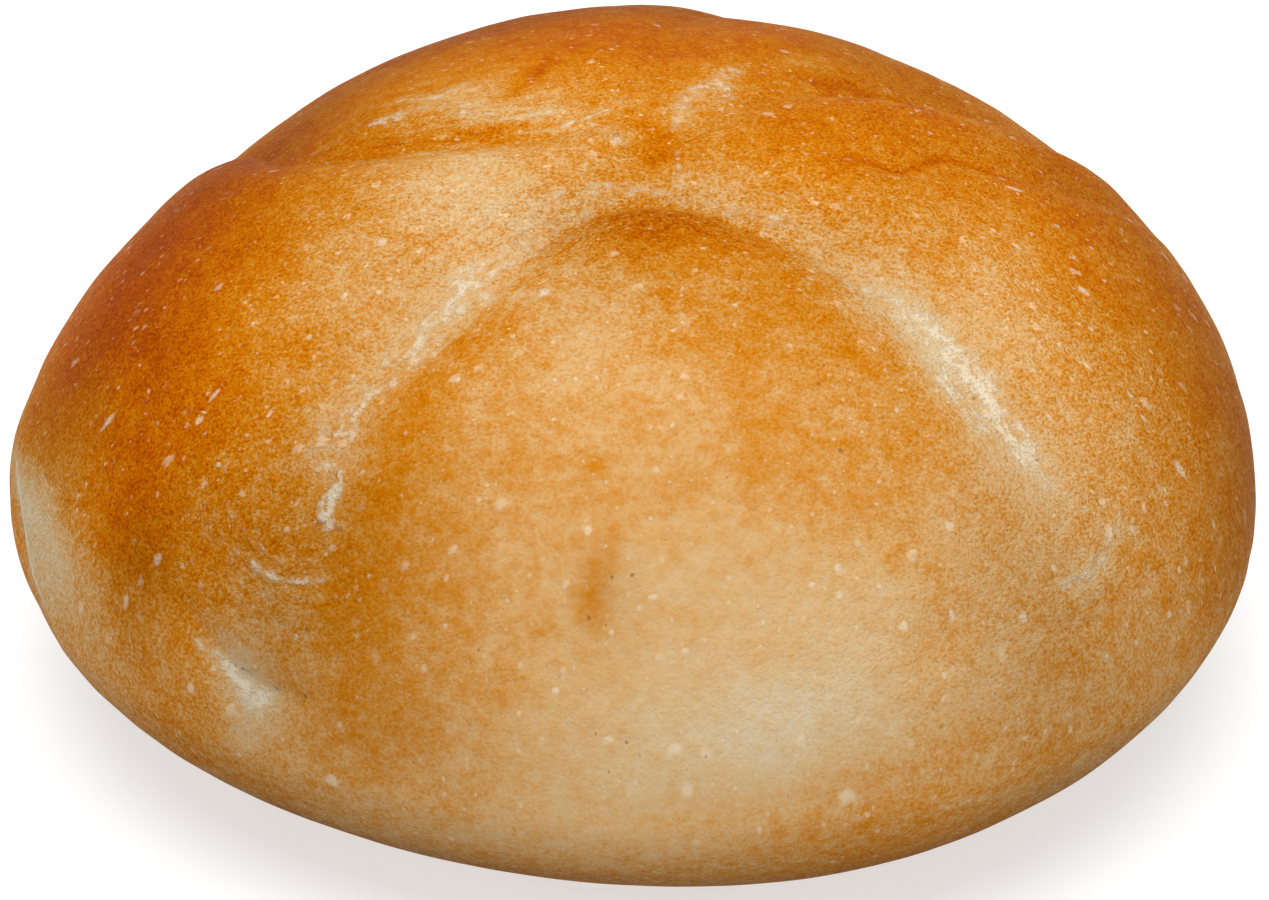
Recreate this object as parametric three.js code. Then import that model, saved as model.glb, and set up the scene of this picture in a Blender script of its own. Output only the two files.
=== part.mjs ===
// A swirl-top bread roll: one baked piece of wheat dough whose top is folded into overlapping petals round a hub.
// Millimetres, +Z up, resting on z = 0, with the large front petal towards -Y.
//
// A place on the crust has two angles. Its turn is measured round the roll from the front, positive towards +X.
// Its fall is 0 at the crown, 90 at the widest section and 180 at the rim of the flat base.

import * as THREE from 'three';
import { mergeVertices } from 'three/addons/utils/BufferGeometryUtils.js';

// The dome under the folds
const RADIUS = 52.5;             // widest section
const WAIST_HEIGHT = 17;         // widest section above the base
const CROWN_RISE = 32.5;         // crown above the widest section
const CROWN_EXPONENT = 2.06;     // superellipse of the profile above the widest section
const UNDERSIDE_EXPONENT = 1.75; // and below it
const BASE_RADIUS = 31.5;        // flat spot that lay on the baking sheet
const HUB_SHIFT = [0.7, -1.4];   // puts the outline's middle, and not the hub, on the origin

// Hand shaping leaves the outline a little three and four sided: waves round it, cosine share, sine share.
const PLAN_WAVES = [
  [2, 0, -0.001],
  [3, -0.01, -0.026],
  [4, 0.007, 0.007],
];

// Where one petal's edge lies over the next. The line is turn, fall and depth. Seen from outside and going
// along the line, the upper petal is on the left where over is 1 and on the right where it is -1. Its edge
// rounds down over the width wall, and the lower petal rises again over the width slope.
const CREASES = {
  frontPetal: {
    over: -1, wall: 6.5, slope: 12, lip: 0.12,
    line: [
      [-29, 66, 0], [-33, 59, 0.5], [-36, 55, 0.9], [-38, 50, 1.1], [-38, 43, 1.2], [-36, 33.5, 1.3],
      [-33, 24, 1.5], [-30, 15, 1.9], [-22, 10, 2.2], [4, 8, 2.4], [30, 10, 2.2], [37, 14, 1.9],
      [43, 18, 1.7], [46, 22, 1.6], [47, 30, 1.5], [46, 40, 1.4], [46, 50, 1.1], [46, 58, 0.5], [47, 66, 0],
    ],
  },
  leftPetal: {
    over: 1, wall: 6, slope: 13, lip: 0.12,
    line: [
      [-175, 2.5, 0.5], [-131, 5, 0.8], [-102, 7.5, 1], [-97, 13, 1.1], [-98, 22, 1.2], [-100, 30, 1.3],
      [-104, 36, 1.5], [-111, 42, 1.7], [-118, 50, 1.3], [-124, 60, 0.6], [-128, 72, 0],
    ],
  },
  rightPetal: {
    over: -1, wall: 6, slope: 14, lip: 0.15,
    line: [
      [100, 3, 0.5], [130, 7.5, 0.8], [134, 14, 1.2], [132, 21, 1.5], [128, 29, 1.8], [124, 37, 2.1],
      [121, 46, 1.7], [121, 57, 0.9], [124, 70, 0],
    ],
  },
  backPetals: {
    over: 1, wall: 6, slope: 12, lip: 0.12,
    line: [
      [160, 3, 0.5], [172, 10, 0.7], [176, 20, 0.9], [175, 30, 0.8], [171, 40, 0.6], [168, 52, 0.5], [166, 64, 0],
    ],
  },
  rightFold: {
    over: -1, wall: 4, slope: 7, lip: 0.1,
    line: [
      [93, 15, 0], [88, 20, 0.35], [88, 25, 0.4], [94, 29, 0.4], [98, 34, 0.5], [100, 42, 0.7],
      [104, 50, 1], [107, 60, 0.5], [108, 70, 0],
    ],
  },
  leftRim: {
    over: 1, wall: 3, slope: 5, lip: 0.1,
    line: [[-50, 71, 0], [-45, 75, 0.5], [-39, 79.5, 0.8], [-34, 80.5, 0.6], [-29, 79, 0]],
  },
  leftNotch: {
    over: 1, wall: 3.5, slope: 6, lip: 0.25,
    line: [[-84, 78, 0], [-78, 83, 0.5], [-73, 87, 1], [-69, 92, 0.8], [-64, 99, 0]],
  },
  hubFold: {
    over: 1, wall: 2.5, slope: 4, lip: 0,
    line: [[120, 2.5, 0.6], [48, 4, 0.5], [24, 7, 0.4], [18, 9, 0.2]],
  },
};
const LINE_STEPS = 12;      // pieces in each stretch of a crease line
const CREASE_BLEND = 3;     // where creases meet they melt together, and a higher power melts them less
const WALL_CURVE = 2;       // power of both profiles
const SLOPE_FULLNESS = 0.8; // makes the lower petal start level with the bottom of the crease
const SIDE_BLEND = 0.5;     // past a crease's end, the share of its width over which the sides change over
const LIP_WIDTH = 0.7;      // of the wall's width

// Single dents and swellings: turn, fall, half width round the roll, half width down it, height.
const SPOTS = {
  hub: [90, 0.7, 3.5, 3, -0.9],
  frontDimple: [-4, 60, 2.2, 3, -0.45],
  frontRightDimple: [28, 69, 3, 2.5, -0.3],
  backRightHollow: [145, 40, 16, 14, -0.4],
  backLeftHollow: [-128, 52, 14, 12, -0.5],
  leftFlank: [-88, 58, 13, 11, -0.55],
  leftKnuckle: [-83, 80, 6, 5, 0.35],
  rightFlank: [84, 72, 14, 12, -0.2],
  frontLeftFoot: [-40, 98, 16, 9, -0.4],
  frontRightFoot: [26, 100, 22, 8, -0.35],
};

// The facets
const DETAIL = 22;              // each of the icosahedron's edges is split into one more piece than this
const WAIST_POLAR_ANGLE = 110;  // on the icosahedron's sphere, so that most facets are on top
const BASE_POLAR_ANGLE = 155;
const SNAP_DISTANCE = 0.8;      // a corner this near to a crease line moves onto it
const SNAP_DEPTH = 1;           // where the crease is at least this deep
const UNDERSIDE_FADE = [110, 155]; // falls between which the folds fade out

const CRUST_COLOR = 0xc4843f;
const CRUST_ROUGHNESS = 0.55;

const { clamp, degToRad, inverseLerp, lerp, radToDeg } = THREE.MathUtils;

function superellipse(angle, exponent) {
  const across = Math.max(Math.sin(angle), 0) ** (2 / exponent);
  const along = Math.max(Math.cos(angle), 0) ** (2 / exponent);
  return [across, along];
}

// Radius and height of the dome at a fall.
function profile(fall) {
  if (fall <= 90) {
    const [across, along] = superellipse(degToRad(fall), CROWN_EXPONENT);
    return [RADIUS * across, WAIST_HEIGHT + CROWN_RISE * along];
  }
  const [down, out] = superellipse(degToRad(fall - 90), UNDERSIDE_EXPONENT);
  return [BASE_RADIUS + (RADIUS - BASE_RADIUS) * out, WAIST_HEIGHT * (1 - down)];
}

function planScale(angle) {
  let scale = 1;
  for (const [waves, cosine, sine] of PLAN_WAVES) {
    scale += cosine * Math.cos(waves * angle) + sine * Math.sin(waves * angle);
  }
  return scale;
}

function onDome(turn, fall, inward = 1) {
  const angle = degToRad(turn - 90);
  const [radius, height] = profile(fall);
  const reach = radius * planScale(angle) * inward;
  return new THREE.Vector3(reach * Math.cos(angle), reach * Math.sin(angle), height);
}

// Outward normal, with the directions down the flank and round the roll.
function domeFrame(turn, fall) {
  const step = 0.2;
  const safeFall = clamp(fall, 2 * step, 180 - 2 * step);
  const down = onDome(turn, safeFall + step).sub(onDome(turn, safeFall - step)).normalize();
  const round = onDome(turn + step, safeFall).sub(onDome(turn - step, safeFall)).normalize();
  const normal = new THREE.Vector3().crossVectors(down, round).normalize();
  return { normal, down, round };
}

// A crease as a chain of samples on the dome, each with its depth and the direction of the upper petal.
function traceCrease({ over, wall, slope, lip, line }) {
  const curve = new THREE.CatmullRomCurve3(line.map((row) => new THREE.Vector3(...row)), false, 'catmullrom', 0.5);
  const rows = curve.getPoints(LINE_STEPS * (line.length - 1));
  const points = rows.map((row) => onDome(row.x, row.y));
  const samples = rows.map((row, index) => {
    const before = points[Math.max(index - 1, 0)];
    const after = points[Math.min(index + 1, points.length - 1)];
    const along = after.clone().sub(before).normalize();
    const { normal } = domeFrame(row.x, row.y);
    const upper = new THREE.Vector3().crossVectors(normal, along).multiplyScalar(over);
    return { point: points[index], depth: Math.max(row.z, 0), upper };
  });
  return { wall, slope, lip, samples };
}

// The nearest place on a crease's chain, with its depth and upper side blended between samples.
function nearestOnCrease(crease, point) {
  let best = { distance: Infinity };
  const chord = new THREE.Vector3();
  const offset = new THREE.Vector3();
  for (let index = 0; index + 1 < crease.samples.length; index++) {
    const from = crease.samples[index];
    const to = crease.samples[index + 1];
    chord.subVectors(to.point, from.point);
    const share = clamp(offset.subVectors(point, from.point).dot(chord) / chord.lengthSq(), 0, 1);
    offset.addScaledVector(chord, -share);
    const distance = offset.length();
    if (distance < best.distance) {
      best = { distance, share, from, to, offset: offset.clone() };
    }
  }
  const { distance, share, from, to, offset: away } = best;
  const upper = from.upper.clone().lerp(to.upper, share);
  const side = distance > 0 ? clamp(away.dot(upper) / distance, -1, 1) : 0;
  const place = from.point.clone().lerp(to.point, share);
  return { distance, side, depth: lerp(from.depth, to.depth, share), place };
}

function wallProfile(share) {
  return (1 - clamp(share, 0, 1)) ** WALL_CURVE;
}

function slopeProfile(share) {
  const inside = clamp(share, 0, 1);
  return (1 - inside) ** WALL_CURVE * (1 + SLOPE_FULLNESS * inside);
}

function creaseRelief(creases, point) {
  let sunk = 0;
  let raised = 0;
  for (const crease of creases) {
    const { distance, side, depth } = nearestOnCrease(crease, point);
    const upper = clamp(0.5 + 0.5 * side / SIDE_BLEND, 0, 1);
    const cut = upper * wallProfile(distance / crease.wall) + (1 - upper) * slopeProfile(distance / crease.slope);
    sunk += (depth * cut) ** CREASE_BLEND;
    const fromLip = (distance - crease.wall) / (LIP_WIDTH * crease.wall);
    raised += upper * crease.lip * depth * Math.exp(-(fromLip ** 2));
  }
  return raised - sunk ** (1 / CREASE_BLEND);
}

function spotRelief(spots, point) {
  let height = 0;
  for (const { centre, frame, across, downward, rise } of spots) {
    const offset = point.clone().sub(centre);
    const shares = [
      offset.dot(frame.round) / across,
      offset.dot(frame.down) / downward,
      offset.dot(frame.normal) / Math.max(across, downward),
    ];
    height += rise * Math.exp(-shares.reduce((sum, share) => sum + share ** 2, 0));
  }
  return height;
}

function placeSpot([turn, fall, across, downward, rise]) {
  return { centre: onDome(turn, fall), frame: domeFrame(turn, fall), across, downward, rise };
}

function snapToCreases(creases, point) {
  let nearest = { distance: SNAP_DISTANCE };
  for (const crease of creases) {
    const found = nearestOnCrease(crease, point);
    if (found.distance < nearest.distance && found.depth > SNAP_DEPTH) {
      nearest = found;
    }
  }
  return nearest.place ?? point;
}

function crustPoint(direction, creases, spots) {
  const turn = radToDeg(Math.atan2(direction.x, -direction.y));
  const polar = radToDeg(Math.acos(clamp(direction.z, -1, 1)));
  if (polar >= BASE_POLAR_ANGLE) {
    return onDome(turn, 180, inverseLerp(180, BASE_POLAR_ANGLE, polar));
  }
  const fall = polar <= WAIST_POLAR_ANGLE
    ? 90 * polar / WAIST_POLAR_ANGLE
    : 90 + 90 * inverseLerp(WAIST_POLAR_ANGLE, BASE_POLAR_ANGLE, polar);
  const place = snapToCreases(creases, onDome(turn, fall));
  const fade = 1 - clamp(inverseLerp(...UNDERSIDE_FADE, fall), 0, 1);
  const relief = creaseRelief(creases, place) + spotRelief(spots, place);
  return place.addScaledVector(domeFrame(turn, fall).normal, relief * fade);
}

function crustGeometry() {
  const sphere = new THREE.IcosahedronGeometry(1, DETAIL);
  sphere.deleteAttribute('normal');
  sphere.deleteAttribute('uv');
  const geometry = mergeVertices(sphere);
  const creases = Object.values(CREASES).map(traceCrease);
  const spots = Object.values(SPOTS).map(placeSpot);
  const position = geometry.getAttribute('position');
  for (let index = 0; index < position.count; index++) {
    const direction = new THREE.Vector3().fromBufferAttribute(position, index).normalize();
    position.setXYZ(index, ...crustPoint(direction, creases, spots));
  }
  geometry.computeVertexNormals();
  return geometry;
}

function breadRoll() {
  const crust = new THREE.MeshStandardMaterial({
    color: CRUST_COLOR,
    roughness: CRUST_ROUGHNESS,
    metalness: 0,
  });
  const roll = new THREE.Mesh(crustGeometry(), crust);
  roll.name = 'bread_roll';
  roll.position.set(...HUB_SHIFT, 0);
  return roll;
}

const object = new THREE.Group();
object.add(breadRoll());

export default object;
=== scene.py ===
"""A swirl-top bread roll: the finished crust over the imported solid, with its floor, light and camera.

The crust repeats the solid's form with facets of about half a millimetre, and adds the soft lumps, wrinkles
and blisters of baked dough. A place on it has two angles in degrees: its turn round the roll from the front,
positive towards +X, and its fall, 0 at the crown, 90 at the widest section and 180 at the rim of the flat
base. Lengths in this script are millimetres, as in the solid's own form, and MM turns them into Blender's
metres.
"""

import math
from types import SimpleNamespace

import bpy
import numpy as np
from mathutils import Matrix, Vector, noise


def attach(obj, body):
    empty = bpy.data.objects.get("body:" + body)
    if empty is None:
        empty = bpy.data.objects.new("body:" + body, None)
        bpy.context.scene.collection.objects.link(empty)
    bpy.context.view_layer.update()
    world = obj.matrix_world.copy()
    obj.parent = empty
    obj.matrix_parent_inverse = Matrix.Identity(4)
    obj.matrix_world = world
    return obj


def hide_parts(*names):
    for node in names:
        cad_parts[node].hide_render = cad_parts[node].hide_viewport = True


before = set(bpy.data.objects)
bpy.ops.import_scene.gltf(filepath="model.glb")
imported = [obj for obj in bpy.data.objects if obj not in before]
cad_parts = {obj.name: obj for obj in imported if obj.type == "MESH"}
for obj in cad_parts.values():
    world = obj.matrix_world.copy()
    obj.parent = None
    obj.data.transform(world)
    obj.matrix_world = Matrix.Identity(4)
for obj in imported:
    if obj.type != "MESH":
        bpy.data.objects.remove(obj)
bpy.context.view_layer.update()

MM = 0.001

# The dome under the folds
RADIUS = 52.5
WAIST_HEIGHT = 17
CROWN_RISE = 32.5
CROWN_EXPONENT = 2.06
UNDERSIDE_EXPONENT = 1.75
BASE_RADIUS = 31.5
HUB_SHIFT = (0.7, -1.4, 0)
PLAN_WAVES = [(2, 0, -0.001), (3, -0.01, -0.026), (4, 0.007, 0.007)]  # waves round the outline, cosine, sine

# Where one petal's edge lies over the next. The line is turn, fall and depth. Seen from outside and going
# along the line, the upper petal is on the left where over is 1 and on the right where it is -1. Wall and
# slope say how far its hollow reaches over the upper and the lower petal. The lip beyond the wall is a share
# of the depth.
CREASES = {
    "frontPetal": dict(
        over=-1, wall=6.5, slope=12, lip=0.12,
        line=[
            (-29, 66, 0), (-33, 59, 0.5), (-36, 55, 0.9), (-38, 50, 1.1), (-38, 43, 1.2), (-36, 33.5, 1.3),
            (-33, 24, 1.5), (-30, 15, 1.9), (-22, 10, 2.2), (4, 8, 2.4), (30, 10, 2.2), (37, 14, 1.9),
            (43, 18, 1.7), (46, 22, 1.6), (47, 30, 1.5), (46, 40, 1.4), (46, 50, 1.1), (46, 58, 0.5),
            (47, 66, 0),
        ],
    ),
    "leftPetal": dict(
        over=1, wall=6, slope=13, lip=0.12,
        line=[
            (-175, 2.5, 0.5), (-131, 5, 0.8), (-102, 7.5, 1), (-97, 13, 1.1), (-98, 22, 1.2), (-100, 30, 1.3),
            (-104, 36, 1.5), (-111, 42, 1.7), (-118, 50, 1.3), (-124, 60, 0.6), (-128, 72, 0),
        ],
    ),
    "rightPetal": dict(
        over=-1, wall=6, slope=14, lip=0.15,
        line=[
            (100, 3, 0.5), (130, 7.5, 0.8), (134, 14, 1.2), (132, 21, 1.5), (128, 29, 1.8), (124, 37, 2.1),
            (121, 46, 1.7), (121, 57, 0.9), (124, 70, 0),
        ],
    ),
    "backPetals": dict(
        over=1, wall=6, slope=12, lip=0.12,
        line=[
            (160, 3, 0.5), (172, 10, 0.7), (176, 20, 0.9), (175, 30, 0.8), (171, 40, 0.6), (168, 52, 0.5),
            (166, 64, 0),
        ],
    ),
    "rightFold": dict(
        over=-1, wall=4, slope=7, lip=0.1,
        line=[
            (93, 15, 0), (88, 20, 0.35), (88, 25, 0.4), (94, 29, 0.4), (98, 34, 0.5), (100, 42, 0.7),
            (104, 50, 1), (107, 60, 0.5), (108, 70, 0),
        ],
    ),
    "leftRim": dict(
        over=1, wall=3, slope=5, lip=0.1,
        line=[(-50, 71, 0), (-45, 75, 0.5), (-39, 79.5, 0.8), (-34, 80.5, 0.6), (-29, 79, 0)],
    ),
    "leftNotch": dict(
        over=1, wall=3.5, slope=6, lip=0.25,
        line=[(-84, 78, 0), (-78, 83, 0.5), (-73, 87, 1), (-69, 92, 0.8), (-64, 99, 0)],
    ),
    "hubFold": dict(
        over=1, wall=2.5, slope=4, lip=0,
        line=[(120, 2.5, 0.6), (48, 4, 0.5), (24, 7, 0.4), (18, 9, 0.2)],
    ),
}
LINE_STEPS = 12                 # pieces in each stretch of a line
CREASE_BLEND = 3                # how sharply two folds' hollows meet
WALL_CURVE = 2
SLOPE_FULLNESS = 0.8
SIDE_BLEND = 0.5                # how gently one side passes into the other round a line's end
LIP_WIDTH = 0.7                 # of the wall
LIP_REACH = 3                   # of its own width

# Single dents and swellings: turn, fall, half width round the roll, half width down it, height
SPOTS = {
    "hub": (90, 0.7, 3.5, 3, -0.9),
    "frontDimple": (-4, 60, 2.2, 3, -0.45),
    "frontRightDimple": (28, 69, 3, 2.5, -0.3),
    "backRightHollow": (145, 40, 16, 14, -0.4),
    "backLeftHollow": (-128, 52, 14, 12, -0.5),
    "leftFlank": (-88, 58, 13, 11, -0.55),
    "leftKnuckle": (-83, 80, 6, 5, 0.35),
    "rightFlank": (84, 72, 14, 12, -0.2),
    "frontLeftFoot": (-40, 98, 16, 9, -0.4),
    "frontRightFoot": (26, 100, 22, 8, -0.35),
}

# The crust's mesh
MESH_FREQUENCY = 99             # pieces that each edge of the icosahedron is split into
WAIST_POLAR_ANGLE = 110         # where on the icosahedron's ball the widest section lies
BASE_POLAR_ANGLE = 155
SNAP_DISTANCE = 0.17            # points this near to a fold's line move onto it
SNAP_DEPTH = 0.3                # where the fold is at least this deep
UNDERSIDE_FADE = (110, 155)     # falls between which the folds fade out

# Noises with different seeds are this far apart, in their own sizes. Each list of noises counts its seeds
# up from one of these.
SEED_SHIFT = 17.31
LUMP_SEED = 1
BROWNING_SEED = 11
WRINKLE_SEED = 21

# Soft lumps of the dough, below the solid's surface: size and height
INSET = 0.15
LUMPS = [(17, 0.2), (7, 0.12), (3, 0.06)]

# Wrinkles of the skin: along the folds, and round the middles of gathered dough
WRINKLING = 0.3
WRINKLED_PATCHES = [  # turn, fall, half width round the roll, half width down it, change
    (-50, 22, 12, 12, 0.7),
    (-115, 22, 16, 14, 0.7),
    (46, 36, 6, 16, 0.4),
    (140, 16, 14, 10, 0.3),
]
# Turn, fall, inner and outer radius, direction (0 round the roll, 90 down it), half spread, amount
WHORLS = [
    (-38, 53, 3.5, 11.5, 120, 75, 1.0),
    (44, 58, 5, 11, 62, 62, 0.9),
]
WRINKLE_REACH = 0.8             # of a fold's wall or slope
WRINKLE_FULL_DEPTH = 1.2        # of a fold
WRINKLE_LEAST = 0.02            # amount below which skin counts as smooth
WRINKLE_APART = 60              # so that each flow has wrinkles of its own
WRINKLES = [(5, 1.7, 0.22), (2.6, 1.1, 0.1)]  # length, width, height

# How browned the crust is: 0 is white dough and 1 deep brown.
BROWNING = 0.548
BROWNING_LUMPS = [(9, 0.07), (3.5, 0.06), (1.6, 0.05)]  # size, change
BROWNING_PATCHES = [  # turn, fall, half width round the roll, half width down it, change
    # the top and the hub
    (-58, 14, 7, 6, -0.05), (-56, 15, 6, 5, -0.06), (-43, 11, 5, 3, 0.06), (-15, 8, 8, 2.5, 0.05),
    (62, 1, 3, 3.5, 0.16), (92, 14, 6, 5, 0.06), (109, 4, 5, 4, -0.06),
    # the left fold and flank
    (-104, 46, 13, 15, 0.2), (-98, 47, 9, 8, -0.06), (-88, 60, 20, 12, 0.05), (-82, 53, 15, 14, 0.3),
    (-77, 52, 6, 6, 0.05), (-69, 45, 5, 5, -0.05), (-66, 79, 9, 8, -0.22), (-64, 71, 5, 5, -0.05),
    (-61, 50, 7, 9, 0.1), (-56, 33, 9, 7, -0.04), (-56, 65, 6, 5, -0.05), (-56, 71, 10, 9, 0.3),
    (-56, 81, 7, 7, -0.2), (-54, 18, 13, 10, -0.18), (-52, 54, 5, 5, 0.07), (-47, 25, 4, 6, 0.08),
    (-45, 45, 4, 5, 0.05), (-43, 36, 6, 8, -0.06), (-41, 40, 4, 6, 0.05), (-40, 82, 6, 5, -0.06),
    (-38, 21, 5, 5, 0.07), (-36, 89, 5, 5, -0.1), (-34, 47, 4, 5, -0.06), (-29, 57, 4, 6, -0.06),
    (-29, 65, 5, 12, 0.14), (-26, 38, 4, 5, -0.05),
    # the front petal and its foot
    (-24, 98, 6, 5, -0.06), (-22, 114, 10, 8, -0.06), (-15, 42, 7, 6, 0.06), (-10, 27, 6, 6, -0.09),
    (-8, 108, 14, 8, -0.06), (-5, 56, 10, 8, -0.09), (-2, 78, 6, 5, -0.07), (0, 37, 13, 9, -0.12),
    (0, 83, 7, 8, -0.05), (1, 91, 20, 6, -0.14), (3, 56, 6, 6, 0.05), (5, 74, 20, 7, -0.06),
    (7, 29, 5, 2.5, 0.06), (9, 28, 10, 8, 0.05), (10, 55, 7, 5, -0.05), (12, 62, 24, 8, -0.15),
    (13, 77, 11, 6, -0.26), (14, 78, 5, 4, -0.07), (14, 88, 5, 5, 0.05), (15, 118, 20, 6, 0.04),
    (24, 65, 7, 5, -0.05), (30, 83, 6, 6, -0.05), (35, 61, 5, 4, 0.06),
    # the right fold and flank
    (40, 61, 10, 9, -0.06), (44, 98, 8, 8, -0.06), (48, 68, 6, 6, -0.05), (50, 90, 10, 12, -0.06),
    (57, 30, 5, 8, -0.05), (60, 40, 8, 12, -0.08), (62, 53, 9, 8, -0.07), (64, 47, 5, 7, 0.06),
    (66, 70, 12, 10, 0.06), (68, 20, 7, 5, 0.05), (82, 72, 12, 12, 0.1), (92, 50, 14, 14, 0.13),
    (102, 27, 8, 6, -0.05), (110, 48, 12, 16, 0.1), (112, 22, 12, 9, 0.16),
    # the back
    (-131, 37, 8, 6, -0.06), (-125, 46, 20, 14, 0.08), (147, 22, 6, 6, -0.1), (180, 26, 26, 15, 0.2),
    (180, 43, 42, 13, 0.08), (180, 75, 40, 22, 0.04),
    # dimples and single spots
    (-6, 44, 0.8, 0.8, 0.2), (-5, 60, 1.7, 3.2, 0.22), (5, 23, 0.9, 0.9, 0.12), (28, 69, 3, 2.2, 0.1),
    (33, 34, 0.7, 0.9, 0.1), (67, 30, 0.9, 0.7, 0.16),
]
BASE_BROWNING = 0.1             # added towards the flat base
BASE_BROWNING_FALLS = (150, 180)
# The underside's rim is darker partly as a browner baked bottom and partly as painted shade on the lower
# flank, which the bright floor would otherwise light.
TOAST_AND_PAINTED_SHADE_BY_FALL = [(93, 0), (129, 0.6), (148, 0.4), (180, 0.22)]  # how much darker the underside's rim is
# Patches of painted shade on the flanks, shoulders and back, and of painted light where the change is below
# 0.
PAINTED_SHADE_AND_LIGHT_PATCHES = [  # as for the browning, and lighter where the change is below 0
    # the top and the hub
    (-170, 8, 20, 13, -0.12), (-72, 16, 11, 10, -0.1), (55, 14, 14, 6, -0.11),
    # the left fold and flank
    (-120, 42, 16, 9, 0.2), (-108, 50, 14, 12, 0.2), (-102, 22, 8, 10, 0.08), (-76, 66, 11, 9, 0.22),
    (-62, 84, 8, 9, 0.09), (-60, 40, 12, 11, -0.05), (-60, 74, 7, 8, -0.1), (-53, 72, 4, 4, 0.14),
    (-52, 74, 9, 8, 0.15), (-44, 79, 5, 6, -0.1), (-44, 92, 10, 8, 0.1), (-38, 21, 6, 5, -0.1),
    (-38, 72, 5, 5, 0.1), (-33, 62, 12, 12, 0.25),
    # the front petal and its foot
    (-24, 86, 12, 9, 0.1), (-4, 61, 3, 4, 0.1), (-2, 21, 16, 8, 0.07), (0, 31, 13, 8, -0.07),
    (4, 60, 20, 12, 0.06), (5, 38, 14, 16, 0.04),
    # the right fold and flank
    (39, 69, 8, 12, 0.15), (45, 104, 12, 8, 0.1), (57, 47, 8, 10, -0.06), (70, 88, 12, 10, 0.16),
    (80, 39, 15, 14, -0.16), (84, 78, 15, 17, 0.28), (102, 56, 12, 12, 0.14),
    # the back
    (-172, 46, 32, 14, 0.2), (-158, 38, 18, 10, 0.22), (138, 44, 14, 9, 0.12), (172, 42, 24, 12, 0.1),
]

# How strong the skin's fine grain is, which fades on the smooth front petal
GRAIN = 2.0
GRAIN_PATCHES = [
    (0, 57, 30, 24, -1.65), (0, 88, 34, 10, -0.4), (2, 12, 14, 5, 1), (-160, 30, 45, 13, -1),
    (-42, 60, 9, 8, 0.5),
]

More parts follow.
